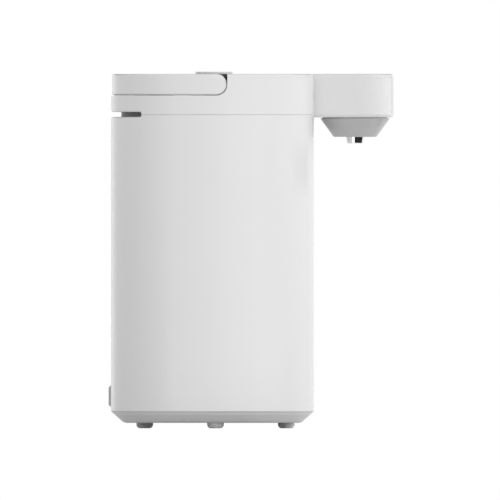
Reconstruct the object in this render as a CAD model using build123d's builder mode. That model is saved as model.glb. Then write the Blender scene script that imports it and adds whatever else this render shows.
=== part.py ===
from build123d import *
import os
from math import cos, hypot, radians, sin, sqrt

os.makedirs("parts", exist_ok=True)

# Hot water dispenser: an insulated tank in a rounded square casing, with a pump,
# a spout arm at the front (+X) and a lid at the back that opens on a hinge across the middle.
# Millimetres, +Z up. The origin lies on the table under the middle of the overall box.

# Body shell
BODY_DEPTH = 203.0
BODY_WIDTH = 203.0
CORNER_RADIUS = 62.0
WALL = 2.6
BASE_HEIGHT = 11.6
BASE_INSET = 13.0
BASE_EDGE_RADIUS = 8.0
CASING_HEIGHT = 296.85
CASING_CHAMFER = 0.3
COLLAR_HEIGHT = 19.0
SEAM_CHAMFER = 0.8
LIP_HEIGHT = 4.0
LIP_ROOT = 3.0
LIP_THICKNESS = 1.8

# Clearances
FIT_GAP = 0.2
SLIDE_GAP = 0.3
PIN_GAP = 0.05

# Feet, one at each side of the base
FOOT_HEIGHT = 5.4
FOOT_RADIUS = 8.4
FOOT_EDGE_RADIUS = 3.8
FOOT_INSET = 30.75
FOOT_SHIFT = 3.0
FOOT_STEM_RADIUS = 3.0
FOOT_BULB_RADIUS = 4.0
FOOT_BULB_HEIGHT = 2.4

# Spout arm and nozzle
SPOUT_REACH = 80.0
SPOUT_WIDTH_SHARE = 0.974
SPOUT_DROP = 3.0
SPOUT_EDGE_RADIUS = 4.0
COVER_THICKNESS = 3.2
COVER_INSET = 0.4
COVER_EDGE_RADIUS = 2.6
CONE_MARGIN = 4.45
CONE_RIM = 1.4
CONE_REVEAL = 0.8
CONE_REVEAL_DEPTH = 2.0
CONE_HEIGHT = 19.5
CONE_TAPER = 13.0
CONE_EDGE_RADIUS = 2.5
CONE_WALL = 2.2
CONE_SHOULDER = 5.2
CONE_SPIGOT_HEIGHT = 5.5
NOZZLE_RADIUS = 9.0
NOZZLE_TOE_RADIUS = 8.0
NOZZLE_LENGTH = 6.6
NOZZLE_EDGE_RADIUS = 0.9
NOZZLE_BORE_RADIUS = 5.0
NOZZLE_FLANGE_RADIUS = 11.5
NOZZLE_FLANGE_THICKNESS = 2.0
NOZZLE_SOCKET = 8.0

# Touch panel on the arm
TOUCH_LENGTH = 92.0
TOUCH_WIDTH = 46.0
TOUCH_THICKNESS = 0.6
TOUCH_FRONT_MARGIN = 14.0
TOUCH_BOARD_LENGTH = 70.0
TOUCH_BOARD_WIDTH = 34.0
TOUCH_POST_HEIGHT = 2.4
TOUCH_POST_RADIUS = 2.5
TOUCH_POST_INSET = 4.0

# Lid and hinge
LID_HEIGHT = 21.1
LID_GAP = 0.45
LID_SEAT_GAP = 0.1
LID_INSET = 1.0
LID_EDGE_RADIUS = 2.2
LID_FLOOR = 3.0
LID_RIM = 2.0
HINGE_OFFSET = 3.8
HINGE_PIN_RADIUS = 2.5
HINGE_PIN_GRIP = 18.0
BARREL_WEB = 12.5
TURRET_OFFSET = 1.4
TURRET_RADIUS = 23.0
TURRET_WALL = 2.4
TURRET_EDGE_RADIUS = 1.0
NOTCH_GAP = 2.1

# Push button and latch
BUTTON_RADIUS = 18.7
BUTTON_GAP = 0.4
BUTTON_PROUD = 2.2
BUTTON_TRAVEL = 2.5
BUTTON_THICKNESS = 3.0
BUTTON_EDGE_RADIUS = 1.0
BUTTON_SKIRT = 1.8
BUTTON_FLANGE = 1.5
BUTTON_FLANGE_HEIGHT = 2.4
CARRIER_HEIGHT = 11.9
LATCH_LIFT = 3.4
LATCH_HEIGHT = 4.0
LATCH_WIDTH = 13.0
LATCH_FRONT = 14.0
LATCH_REAR = 18.0
NOSE_HEIGHT = 2.0
NOSE_WIDTH = 8.0
NOSE_CATCH = 1.7
NOSE_SLOPE = 1.2
KEY_WIDTH = 6.0
KEY_LENGTH = 5.0
DOME_RADIUS = 12.0
DOME_TOP_RADIUS = 10.0
DOME_SKIN = 1.2

# Mouth, tank and seal
DECK_THICKNESS = 2.6
LEDGE_WIDTH = 3.5
LEDGE_HEIGHT = 3.0
NECK_DEPTH = 10.4
NECK_WALL = 2.5
NECK_PLATE = 2.5
MOUTH_MARGIN = 5.0
MOUTH_FRONT_GAP = 3.8
MOUTH_CORNER_SHARE = 0.175
GASKET_MARGIN = 1.5
GASKET_WIDTH = 5.0
GASKET_SEAT = 2.0
LID_PLUG_GAP = 2.5
LID_PLUG_DEPTH = 5.0
LID_PLUG_SKIN = 2.4
STEAM_CAP_SHARE = 0.3
STEAM_CAP_HEIGHT = 3.0
STEAM_CAP_CHAMFER = 1.0
STEAM_HOLE_SHARE = 0.124
STEAM_HOLE_COUNT = 8
STEAM_CIRCLE_SHARE = 0.6
SEAL_THICKNESS = 3.0
TANK_CLEARANCE = 12.9
TANK_WALL = 1.0
TANK_CORNER = 12.0
FLANGE_WIDTH = 6.5
CHASSIS_HEIGHT = 83.4
JACKET_THICKNESS = 4.7
JACKET_FOOT = 8.0
JACKET_HEAD = 19.0

# The tank's radius, and the scale of what stands under it
TANK_RADIUS = min(BODY_DEPTH, BODY_WIDTH) / 2 - WALL - TANK_CLEARANCE
CHASSIS_SCALE = TANK_RADIUS / 86.0

# Heater and tank support
SUPPORT_RADIUS = 73.0 * CHASSIS_SCALE
SUPPORT_WIDTH = 9.5 * CHASSIS_SCALE
SUPPORT_HEIGHT = 6.0
LEG_RADIUS = 6.0 * CHASSIS_SCALE
LEG_ANGLE = 30.0
HEATER_GAP = 2.5
HEATER_THICKNESS = 4.0
HEATING_INSET = 9.0 * CHASSIS_SCALE
HEATING_SIZE = 7.0
HEATING_OPEN_ANGLE = 40.0
TERMINAL_RADIUS = 1.5
TERMINAL_LENGTH = 12.0
TERMINAL_ANGLE = 4.0
CUTOUT_RADIUS = 7.0
CUTOUT_HEIGHT = 8.0
CUTOUT_STEP = 1.5
CUTOUT_OFFSET = 26.0 * CHASSIS_SCALE
CUTOUT_SPACING = 36.0 * CHASSIS_SCALE

# Pump and hoses
PUMP_OFFSET = 34.0 * CHASSIS_SCALE
DAMPER_RADIUS = 15.0 * CHASSIS_SCALE
DAMPER_HEIGHT = 3.4
MOTOR_RADIUS = 16.0 * CHASSIS_SCALE
MOTOR_HEIGHT = 32.0
MOTOR_CHAMFER = 1.5
VOLUTE_RADIUS = 18.0 * CHASSIS_SCALE
VOLUTE_HEIGHT = 12.0
VOLUTE_SKIN = 2.2
IMPELLER_RADIUS = 13.6 * CHASSIS_SCALE
IMPELLER_DISC = 1.6
VANE_COUNT = 6
VANE_THICKNESS = 1.4
VANE_HEIGHT = 4.2
VANE_ANGLE = 20.0
VANE_ROOT = 0.5
HUB_RADIUS = 4.0
SHAFT_RADIUS = 1.5
SHAFT_LENGTH = 10.0
RUNNING_GAP = 0.6
PIPE_RADIUS = 6.0
PIPE_BORE_RADIUS = 4.6
NIPPLE_RADIUS = 4.0
NIPPLE_BORE_RADIUS = 2.6
NIPPLE_LENGTH = 12.0
SLEEVE_WALL = 2.5
SLEEVE_END_GAP = 2.0
HOSE_RADIUS = 6.0
RISER_GAP = 6.7
RISER_DROP = 18.9
RISER_FOOT_RISE = 4.0
RISER_FOOT_STEP = 5.0
RISER_BENDS = (18.0, 40.0, 18.0, 16.0)

# Steam slot at the rear seam
VENT_HEIGHT = 4.8
VENT_DEPTH = 30.3
VENT_RECESS = 10.3
VENT_SKIN = 1.6
VENT_END_RADIUS = 1.5
VENT_LIP_RADIUS = 2.2
VENT_HOLE_COUNT = 9
VENT_HOLE_SPACING = 8.0
VENT_HOLE_WIDTH = 3.0
VENT_HOLE_MARGIN = 0.4

# Power inlet
INLET_HEIGHT = 22.5
INLET_WIDTH = 40.0
INLET_PROUD = 2.4
INLET_TAPER = 2.5
INLET_CENTRE = 32.2
INLET_BODY_DEPTH = 16.0
INLET_FLANGE = 2.2
INLET_CORNER = 3.0
RECESS_CORNER = 2.0
RECESS_HEIGHT = 11.5
RECESS_WIDTH = 28.0
RECESS_DEPTH = 11.0
PIN_RADIUS = 1.6
PIN_SPACING = 14.0
PIN_STAND = 5.0
PIN_TAIL = 5.0

# Power board
BOARD_DEPTH = 42.0 * CHASSIS_SCALE
BOARD_WIDTH = 62.0 * CHASSIS_SCALE
BOARD_THICKNESS = 1.6
BOARD_OFFSET = -30.5 * CHASSIS_SCALE
BOARD_LIFT = 5.4
BOARD_POST_RADIUS = 3.0
BOARD_POST_INSET = 4.0
LEAD_RADIUS = 1.5
LEAD_BEND = 9.0
RELAY_SIZE = (20.0 * CHASSIS_SCALE, 16.0 * CHASSIS_SCALE, 16.0)
TRANSFORMER_SIZE = (24.0 * CHASSIS_SCALE, 22.0 * CHASSIS_SCALE, 20.0)
CAPACITOR_RADIUS = 4.5 * CHASSIS_SCALE
CAPACITOR_HEIGHT = 18.0
COMPONENT_GAP = 3.0

# Screws
SCREW_RADIUS = 1.5
SCREW_HEAD_RADIUS = 3.0
SCREW_HEAD_HEIGHT = 1.6
BOSS_RADIUS = 5.0
BOSS_HEIGHT = 5.0
LID_BOSS_RADIUS = 4.0
BASE_SCREW_LENGTH = 14.0
LID_SCREW_LENGTH = 12.0
DECK_SCREW_LENGTH = 7.0
LID_SCREW_REAR_INSET = (16.0, 44.0)
LID_SCREW_FRONT = (-19.0, 62.0)

# Places worked out from the sizes above
SPOUT_WIDTH = SPOUT_WIDTH_SHARE * SPOUT_REACH
CONE_RADIUS = SPOUT_WIDTH / 2 - CONE_MARGIN
CONE_TOE_RADIUS = CONE_RADIUS - CONE_TAPER
CONE_SPIGOT_RADIUS = CONE_RADIUS - CONE_SHOULDER
BODY_X = (INLET_PROUD - SPOUT_REACH) / 2
REAR_X = BODY_X - BODY_DEPTH / 2
FRONT_X = BODY_X + BODY_DEPTH / 2
NOZZLE_X = FRONT_X + SPOUT_REACH - SPOUT_WIDTH / 2
BASE_Z = FOOT_HEIGHT
FLOOR_Z = BASE_Z + WALL
CASING_Z = BASE_Z + BASE_HEIGHT
SEAM_Z = CASING_Z + CASING_HEIGHT
DECK_Z = SEAM_Z + COLLAR_HEIGHT
LID_Z = DECK_Z + LID_GAP
TOP_Z = LID_Z + LID_HEIGHT
COVER_Z = TOP_Z - COVER_THICKNESS
SPOUT_Z = SEAM_Z - SPOUT_DROP
BARREL_RADIUS = LID_HEIGHT / 2
HINGE_X = BODY_X + HINGE_OFFSET
HINGE_Z = LID_Z + BARREL_RADIUS
POCKET_RADIUS = BARREL_RADIUS + LID_GAP
WALL_X = HINGE_X + POCKET_RADIUS
TURRET_X = BODY_X + TURRET_OFFSET
TURRET_BORE = TURRET_RADIUS - TURRET_WALL
NOTCH_RADIUS = TURRET_RADIUS + NOTCH_GAP
NOTCH_WALL_RADIUS = NOTCH_RADIUS + WALL
MOUTH_FRONT = NOTCH_WALL_RADIUS - TURRET_OFFSET + GASKET_MARGIN + GASKET_WIDTH + MOUTH_FRONT_GAP
CARRIER_TOP = DECK_Z + CARRIER_HEIGHT
FLANGE_Z = CARRIER_TOP + SLIDE_GAP + BUTTON_TRAVEL
FLANGE_TOP = FLANGE_Z + BUTTON_FLANGE_HEIGHT
BUTTON_TOP = TOP_Z + BUTTON_PROUD
BUTTON_UNDER = BUTTON_TOP - BUTTON_THICKNESS
LATCH_Z = DECK_Z + LATCH_LIFT
LATCH_TOP = LATCH_Z + LATCH_HEIGHT
NOSE_TIP = NOTCH_RADIUS + NOSE_CATCH
NECK_Z = DECK_Z - NECK_DEPTH
TANK_RIM_Z = NECK_Z - SEAL_THICKNESS
TANK_BOTTOM_Z = FLOOR_Z + CHASSIS_HEIGHT
TANK_FLANGE_RADIUS = TANK_RADIUS + FLANGE_WIDTH
MOUTH_RADIUS = TANK_RADIUS - TANK_WALL - MOUTH_MARGIN
MOUTH_CORNER = MOUTH_CORNER_SHARE * MOUTH_RADIUS
STEAM_CAP_RADIUS = STEAM_CAP_SHARE * (MOUTH_RADIUS - MOUTH_FRONT)
STEAM_HOLE_CIRCLE = STEAM_CIRCLE_SHARE * STEAM_CAP_RADIUS
STEAM_HOLE_RADIUS = STEAM_HOLE_SHARE * STEAM_CAP_RADIUS
SUPPORT_BORE = SUPPORT_RADIUS - SUPPORT_WIDTH
LEG_CIRCLE = (SUPPORT_RADIUS + SUPPORT_BORE) / 2
HEATER_RADIUS = SUPPORT_BORE - HEATER_GAP
HEATER_Z = TANK_BOTTOM_Z - HEATER_THICKNESS
HEATING_RADIUS = HEATER_RADIUS - HEATING_INSET
PUMP_X = BODY_X + PUMP_OFFSET
MOTOR_Z = FLOOR_Z + DAMPER_HEIGHT
VOLUTE_Z = MOTOR_Z + MOTOR_HEIGHT
VOLUTE_TOP = VOLUTE_Z + VOLUTE_HEIGHT
PIPE_LENGTH = (TANK_BOTTOM_Z - VOLUTE_TOP) / 3
OUTLET_Z = VOLUTE_Z + VOLUTE_HEIGHT / 2
OUTLET_X = PUMP_X + VOLUTE_RADIUS - VOLUTE_SKIN - NIPPLE_RADIUS
OUTLET_END = VOLUTE_RADIUS + NIPPLE_LENGTH
SLEEVE_Z = VOLUTE_TOP + SLEEVE_END_GAP
SLEEVE_TOP = HEATER_Z - SLEEVE_END_GAP
HOSE_BORE = NIPPLE_RADIUS + PIN_GAP
RISER_Z = COVER_Z - RISER_DROP
VENT_FRONT = VENT_DEPTH - BODY_DEPTH / 2
INLET_BODY_WIDTH = RECESS_WIDTH + 2 * INLET_FLANGE
INLET_BODY_HEIGHT = RECESS_HEIGHT + 2 * INLET_FLANGE
RECESS_X = REAR_X - INLET_PROUD + RECESS_DEPTH
PIN_END_X = REAR_X + INLET_BODY_DEPTH + PIN_TAIL
BOARD_X = BODY_X + BOARD_OFFSET
BOARD_Z = FLOOR_Z + BOARD_LIFT
BOARD_TOP = BOARD_Z + BOARD_THICKNESS

UP = (Align.CENTER, Align.CENTER, Align.MIN)


def level(z, x=BODY_X, y=0.0):
    """Level work plane at height z, over the body's axis unless told otherwise."""
    return Plane((x, y, z))


def side(x, z):
    """Upright work plane seen from the side, with its middle at x and z."""
    return Plane((x, 0, z), x_dir=(1, 0, 0), z_dir=(0, -1, 0))


def body_outline(inset=0.0, mode=Mode.ADD):
    """Rounded square seen from above."""
    RectangleRounded(BODY_DEPTH - 2 * inset, BODY_WIDTH - 2 * inset, CORNER_RADIUS - inset, mode=mode)


def body_ring(outer_inset, inner_inset):
    """Wall of the body between two insets."""
    body_outline(outer_inset)
    body_outline(inner_inset, Mode.SUBTRACT)


def spout_outline(inset=0.0, mode=Mode.ADD):
    """Spout arm seen from above, run back to the body's axis."""
    length = NOZZLE_X - BODY_X
    with Locations((length / 2, 0)):
        SlotCenterToCenter(length, SPOUT_WIDTH - 2 * inset, mode=mode)


def keep_behind(limit):
    """Keep the part of a sketch that lies behind a line across the body."""
    with Locations((limit, 0)):
        Rectangle(3 * BODY_DEPTH, 3 * BODY_WIDTH, align=(Align.MAX, Align.CENTER), mode=Mode.INTERSECT)


def keep_ahead(limit):
    """Keep the part of a sketch that lies ahead of a line across the body."""
    with Locations((limit, 0)):
        Rectangle(3 * BODY_DEPTH, 3 * BODY_WIDTH, align=(Align.MIN, Align.CENTER), mode=Mode.INTERSECT)


def mouth_outline(inset=0.0, mode=Mode.ADD):
    """Half-moon mouth over the back of the tank."""
    front = -MOUTH_FRONT - inset
    outer = MOUTH_RADIUS - inset
    corner = MOUTH_CORNER - inset
    corner_x = front - corner
    corner_y = sqrt((outer - corner) ** 2 - corner_x**2)
    reach = outer / (outer - corner)
    with BuildLine() as outline:
        edge = Line((front, -corner_y), (front, corner_y))
        turn = TangentArc(edge @ 1, (corner_x * reach, corner_y * reach), tangent=edge % 1)
        rear = ThreePointArc(turn @ 1, (-outer, 0), (corner_x * reach, -corner_y * reach))
        TangentArc(rear @ 1, edge @ 0, tangent=rear % 1)
    make_face(outline.edges(), mode=mode)


def outline_depth(point):
    """How far a point lies inside the body's outline, seen from above."""
    across_x = max(abs(point.X - BODY_X) - (BODY_DEPTH / 2 - CORNER_RADIUS), 0)
    across_y = max(abs(point.Y) - (BODY_WIDTH / 2 - CORNER_RADIUS), 0)
    return CORNER_RADIUS - hypot(across_x, across_y)


def outline_edges(part, z, inset=0.0):
    """Edges of a part at height z that run along the body's outline."""
    chosen = ShapeList()
    for edge in part.edges():
        middle = edge @ 0.5
        if abs(middle.Z - z) < 0.01 and abs(outline_depth(middle) - inset) < 0.01:
            chosen.append(edge)
    return chosen


def cut_vent():
    """Slot round the back of the body at the seam, open towards the rear."""
    with BuildSketch(side(REAR_X, SEAM_Z)) as slot:
        RectangleRounded(2 * VENT_DEPTH, VENT_HEIGHT, VENT_END_RADIUS)
    extrude(slot.sketch, amount=BODY_WIDTH, both=True, mode=Mode.SUBTRACT)


def screw_form(length, extra=0.0, mode=Mode.ADD):
    """Countersunk screw that points up from the face of its head."""
    Cone(SCREW_HEAD_RADIUS + extra, SCREW_RADIUS + extra, SCREW_HEAD_HEIGHT, align=UP, mode=mode)
    Cylinder(SCREW_RADIUS + extra, length, align=UP, mode=mode)


def tube_along(points, bends, outer, bore):
    """Tube of straight runs joined by round bends."""
    with BuildLine() as route:
        FilletPolyline(*points, radius=bends)
    with BuildSketch(Plane(route.line @ 0, z_dir=route.line % 0)) as section:
        Circle(outer)
        if bore:
            Circle(bore, mode=Mode.SUBTRACT)
    sweep(section.sketch, path=route.line)


def mirrored(point):
    """A place beside the body's middle line and its twin on the other side."""
    return [(point[0], point[1]), (point[0], -point[1])]


FOOT_PLACES = [
    (
        BODY_X + FOOT_SHIFT + along * (BODY_DEPTH / 2 - FOOT_INSET),
        across * (BODY_WIDTH / 2 - FOOT_INSET),
    )
    for along, across in ((-1, 0), (1, 0), (0, -1), (0, 1))
]
LEG_PLACES = [
    (BODY_X + along * LEG_CIRCLE * cos(radians(LEG_ANGLE)), across * LEG_CIRCLE * sin(radians(LEG_ANGLE)))
    for along in (-1, 1)
    for across in (-1, 1)
]
BOARD_POSTS = [
    (
        BOARD_X + along * (BOARD_DEPTH / 2 - BOARD_POST_INSET),
        across * (BOARD_WIDTH / 2 - BOARD_POST_INSET),
    )
    for along in (-1, 1)
    for across in (-1, 1)
]
CORNER_REACH = (CORNER_RADIUS - WALL - BOSS_RADIUS + FIT_GAP) * sqrt(0.5)
DECK_SCREW_PLACES = mirrored(
    (REAR_X + CORNER_RADIUS - CORNER_REACH, BODY_WIDTH / 2 - CORNER_RADIUS + CORNER_REACH)
) + mirrored((HINGE_X + BOSS_RADIUS, BODY_WIDTH / 2 - WALL - BOSS_RADIUS + FIT_GAP))
LID_SCREW_REAR = (
    LID_SCREW_REAR_INSET[0] - BODY_DEPTH / 2,
    BODY_WIDTH / 2 - LID_SCREW_REAR_INSET[1],
)
LID_SCREW_PLACES = [
    (BODY_X + x, y) for x, y in mirrored(LID_SCREW_REAR) + mirrored(LID_SCREW_FRONT)
]

# Outer casing: the tall rounded square tube
with BuildPart() as outer_casing:
    with BuildSketch(level(CASING_Z)):
        body_ring(0, WALL)
    extrude(amount=CASING_HEIGHT)
    chamfer(outline_edges(outer_casing, SEAM_Z), SEAM_CHAMFER)
    chamfer(outline_edges(outer_casing, CASING_Z), CASING_CHAMFER)
    cut_vent()
    fillet(outline_edges(outer_casing, SEAM_Z - VENT_HEIGHT / 2), VENT_LIP_RADIUS)
    with BuildSketch(Plane((REAR_X, 0, INLET_CENTRE), x_dir=(0, 1, 0), z_dir=(1, 0, 0))):
        Rectangle(INLET_BODY_WIDTH + 2 * FIT_GAP, INLET_BODY_HEIGHT + 2 * FIT_GAP)
    extrude(amount=2 * WALL, mode=Mode.SUBTRACT)
outer_casing.part.label = "outer_casing"
export_step(outer_casing.part, "parts/outer_casing.step")

# Base tray: chamfered underside, floor, and a lip that locates the casing
with BuildPart() as base_tray:
    with BuildSketch(level(BASE_Z)):
        body_outline(BASE_INSET)
    with BuildSketch(level(CASING_Z)):
        body_outline()
    loft(ruled=True)
    fillet(outline_edges(base_tray, BASE_Z, BASE_INSET), BASE_EDGE_RADIUS)
    with BuildSketch(level(FLOOR_Z)):
        body_outline(BASE_INSET * (1 - WALL / BASE_HEIGHT) + WALL)
    with BuildSketch(level(CASING_Z)):
        body_outline(WALL)
    loft(ruled=True, mode=Mode.SUBTRACT)
    with BuildSketch(level(CASING_Z - LIP_ROOT)):
        body_ring(WALL + FIT_GAP, WALL + FIT_GAP + LIP_THICKNESS)
    extrude(amount=LIP_ROOT + LIP_HEIGHT)
    with Locations(*[(x, y, FLOOR_Z) for x, y in BOARD_POSTS]):
        Cylinder(BOARD_POST_RADIUS, BOARD_LIFT, align=UP)
    with Locations(*[(x, y, BASE_Z) for x, y in FOOT_PLACES]):
        Cylinder(FOOT_STEM_RADIUS + FIT_GAP, WALL, align=UP, mode=Mode.SUBTRACT)
    with Locations(*[(x, y, BASE_Z) for x, y in LEG_PLACES]):
        screw_form(BASE_SCREW_LENGTH, PIN_GAP, Mode.SUBTRACT)
base_tray.part.label = "base_tray"
export_step(base_tray.part, "parts/base_tray.step")

# Rubber feet: pushed up through the floor and held by a bulb
with BuildPart() as rubber_feet:
    for foot_x, foot_y in FOOT_PLACES:
        with BuildSketch(Plane((foot_x, foot_y, 0), x_dir=(1, 0, 0), z_dir=(0, -1, 0))):
            with BuildLine():
                sole = Line((0, 0), (FOOT_RADIUS - FOOT_EDGE_RADIUS, 0))
                edge = TangentArc(sole @ 1, (FOOT_RADIUS, FOOT_EDGE_RADIUS), tangent=sole % 1)
                Polyline(
                    edge @ 1,
                    (FOOT_RADIUS, FOOT_HEIGHT),
                    (FOOT_STEM_RADIUS, FOOT_HEIGHT),
                    (FOOT_STEM_RADIUS, FLOOR_Z),
                    (FOOT_BULB_RADIUS, FLOOR_Z),
                    (FOOT_STEM_RADIUS, FLOOR_Z + FOOT_BULB_HEIGHT),
                    (0, FLOOR_Z + FOOT_BULB_HEIGHT),
                    sole @ 0,
                )
            make_face()
        revolve(axis=Axis((foot_x, foot_y, 0), (0, 0, 1)))
rubber_feet.part.label = "rubber_feet"
export_step(rubber_feet.part, "parts/rubber_feet.step")

# Tank support: a ring under the tank on four screwed legs
with BuildPart() as tank_support:
    with BuildSketch(level(TANK_BOTTOM_Z - SUPPORT_HEIGHT)):
        Circle(SUPPORT_RADIUS)
        Circle(SUPPORT_BORE, mode=Mode.SUBTRACT)
    extrude(amount=SUPPORT_HEIGHT)
    with Locations(*[(x, y, FLOOR_Z) for x, y in LEG_PLACES]):
        Cylinder(LEG_RADIUS, TANK_BOTTOM_Z - SUPPORT_HEIGHT - FLOOR_Z, align=UP)
    with Locations(*[(x, y, BASE_Z) for x, y in LEG_PLACES]):
        screw_form(BASE_SCREW_LENGTH + FIT_GAP, PIN_GAP, Mode.SUBTRACT)
tank_support.part.label = "tank_support"
export_step(tank_support.part, "parts/tank_support.step")

with BuildPart() as base_screws:
    with Locations(*[(x, y, BASE_Z) for x, y in LEG_PLACES]):
        screw_form(BASE_SCREW_LENGTH)
base_screws.part.label = "base_screws"
export_step(base_screws.part, "parts/base_screws.step")

# Inner tank: deep-drawn cup with a rim and an outlet pipe in its floor
with BuildPart() as inner_tank:
    with BuildSketch(level(TANK_BOTTOM_Z)):
        Circle(TANK_RADIUS)
    extrude(amount=TANK_RIM_Z - TANK_BOTTOM_Z)
    fillet(inner_tank.faces().sort_by(Axis.Z)[0].edges(), TANK_CORNER)
    offset(amount=-TANK_WALL, openings=inner_tank.faces().sort_by(Axis.Z)[-1])
    with BuildSketch(level(TANK_RIM_Z - TANK_WALL)):
        Circle(TANK_FLANGE_RADIUS)
        Circle(TANK_RADIUS - TANK_WALL, mode=Mode.SUBTRACT)
    extrude(amount=TANK_WALL)
    with BuildSketch(level(TANK_BOTTOM_Z - PIPE_LENGTH, PUMP_X)):
        Circle(PIPE_RADIUS)
    extrude(amount=PIPE_LENGTH)
    with BuildSketch(level(TANK_BOTTOM_Z - PIPE_LENGTH, PUMP_X)):
        Circle(PIPE_BORE_RADIUS)
    extrude(amount=PIPE_LENGTH + TANK_WALL, mode=Mode.SUBTRACT)
inner_tank.part.label = "inner_tank"
export_step(inner_tank.part, "parts/inner_tank.step")

with BuildPart() as tank_seal:
    with BuildSketch(level(TANK_RIM_Z)):
        Circle(TANK_FLANGE_RADIUS)
        Circle(TANK_RADIUS - TANK_WALL, mode=Mode.SUBTRACT)
    extrude(amount=SEAL_THICKNESS)
tank_seal.part.label = "tank_seal"
export_step(tank_seal.part, "parts/tank_seal.step")

with BuildPart() as insulation_jacket:
    with BuildSketch(level(TANK_BOTTOM_Z + JACKET_FOOT)):
        Circle(TANK_RADIUS + SLIDE_GAP + JACKET_THICKNESS)
        Circle(TANK_RADIUS + SLIDE_GAP, mode=Mode.SUBTRACT)
    extrude(amount=TANK_RIM_Z - TANK_BOTTOM_Z - JACKET_FOOT - JACKET_HEAD)
insulation_jacket.part.label = "insulation_jacket"
export_step(insulation_jacket.part, "parts/insulation_jacket.step")

# Heater under the tank: plate, bent heating tube with its terminals, and two cutouts
with BuildPart() as heater_plate:
    with BuildSketch(level(HEATER_Z)):
        Circle(HEATER_RADIUS)
        with Locations((PUMP_OFFSET, 0)):
            Circle(PIPE_RADIUS + SLIDE_GAP, mode=Mode.SUBTRACT)
    extrude(amount=HEATER_THICKNESS)
heater_plate.part.label = "heater_plate"
export_step(heater_plate.part, "parts/heater_plate.step")

HEATING_START = radians(180 + HEATING_OPEN_ANGLE / 2)
with BuildPart() as heating_tube:
    section = Plane(
        (BODY_X, 0, HEATER_Z - HEATING_SIZE / 2),
        x_dir=(cos(HEATING_START), sin(HEATING_START), 0),
        z_dir=(sin(HEATING_START), -cos(HEATING_START), 0),
    )
    with BuildSketch(section):
        with Locations((HEATING_RADIUS, 0)):
            RegularPolygon(HEATING_SIZE / 2, 8, major_radius=False, rotation=22.5)
    revolve(axis=Axis((BODY_X, 0, 0), (0, 0, 1)), revolution_arc=360 - HEATING_OPEN_ANGLE)
    terminal_angle = HEATING_OPEN_ANGLE / 2 + TERMINAL_ANGLE
    with BuildSketch(level(HEATER_Z - HEATING_SIZE / 2 - TERMINAL_LENGTH)):
        with PolarLocations(HEATING_RADIUS, 2, 180 - terminal_angle, 2 * terminal_angle, endpoint=True):
            Circle(TERMINAL_RADIUS)
    extrude(amount=TERMINAL_LENGTH)
heating_tube.part.label = "heating_tube"
export_step(heating_tube.part, "parts/heating_tube.step")

with BuildPart() as thermal_cutouts:
    for cutout_y in (-CUTOUT_SPACING / 2, CUTOUT_SPACING / 2):
        with Locations((BODY_X - CUTOUT_OFFSET, cutout_y, HEATER_Z - CUTOUT_HEIGHT / 2)):
            Cylinder(CUTOUT_RADIUS, CUTOUT_HEIGHT / 2, align=UP)
        with Locations((BODY_X - CUTOUT_OFFSET, cutout_y, HEATER_Z - CUTOUT_HEIGHT)):
            Cylinder(CUTOUT_RADIUS - CUTOUT_STEP, CUTOUT_HEIGHT / 2, align=UP)
thermal_cutouts.part.label = "thermal_cutouts"
export_step(thermal_cutouts.part, "parts/thermal_cutouts.step")

# Pump: rubber damper, motor, volute with its pipes, and the impeller that turns inside
with BuildPart() as pump_damper:
    with Locations((PUMP_X, 0, FLOOR_Z)):
        Cylinder(DAMPER_RADIUS, DAMPER_HEIGHT, align=UP)
pump_damper.part.label = "pump_damper"
export_step(pump_damper.part, "parts/pump_damper.step")

with BuildPart() as pump_motor:
    with Locations((PUMP_X, 0, MOTOR_Z)):
        Cylinder(MOTOR_RADIUS, MOTOR_HEIGHT, align=UP)
    chamfer(pump_motor.faces().sort_by(Axis.Z)[0].edges(), MOTOR_CHAMFER)
    with Locations((PUMP_X, 0, VOLUTE_Z - SHAFT_LENGTH)):
        Cylinder(SHAFT_RADIUS + PIN_GAP, SHAFT_LENGTH, align=UP, mode=Mode.SUBTRACT)
pump_motor.part.label = "pump_motor"
export_step(pump_motor.part, "parts/pump_motor.step")

with BuildPart() as pump_volute:
    with Locations((PUMP_X, 0, VOLUTE_Z)):
        Cylinder(VOLUTE_RADIUS, VOLUTE_HEIGHT, align=UP)
    with Locations((PUMP_X, 0, VOLUTE_TOP)):
        Cylinder(PIPE_RADIUS, PIPE_LENGTH, align=UP)
    with BuildSketch(Plane((OUTLET_X, 0, OUTLET_Z), x_dir=(1, 0, 0), z_dir=(0, 1, 0))):
        Circle(NIPPLE_RADIUS)
    extrude(amount=OUTLET_END)
    with Locations((PUMP_X, 0, VOLUTE_Z + VOLUTE_SKIN)):
        Cylinder(VOLUTE_RADIUS - VOLUTE_SKIN, VOLUTE_HEIGHT - 2 * VOLUTE_SKIN, align=UP, mode=Mode.SUBTRACT)
    with Locations((PUMP_X, 0, VOLUTE_Z)):
        Cylinder(SHAFT_RADIUS + PIN_GAP, VOLUTE_HEIGHT / 2, align=UP, mode=Mode.SUBTRACT)
    with Locations((PUMP_X, 0, OUTLET_Z)):
        Cylinder(PIPE_BORE_RADIUS, VOLUTE_TOP + PIPE_LENGTH - OUTLET_Z, align=UP, mode=Mode.SUBTRACT)
    with BuildSketch(Plane((OUTLET_X, 0, OUTLET_Z), x_dir=(1, 0, 0), z_dir=(0, 1, 0))):
        Circle(NIPPLE_BORE_RADIUS)
    extrude(amount=OUTLET_END, mode=Mode.SUBTRACT)
pump_volute.part.label = "pump_volute"
export_step(pump_volute.part, "parts/pump_volute.step")

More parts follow.
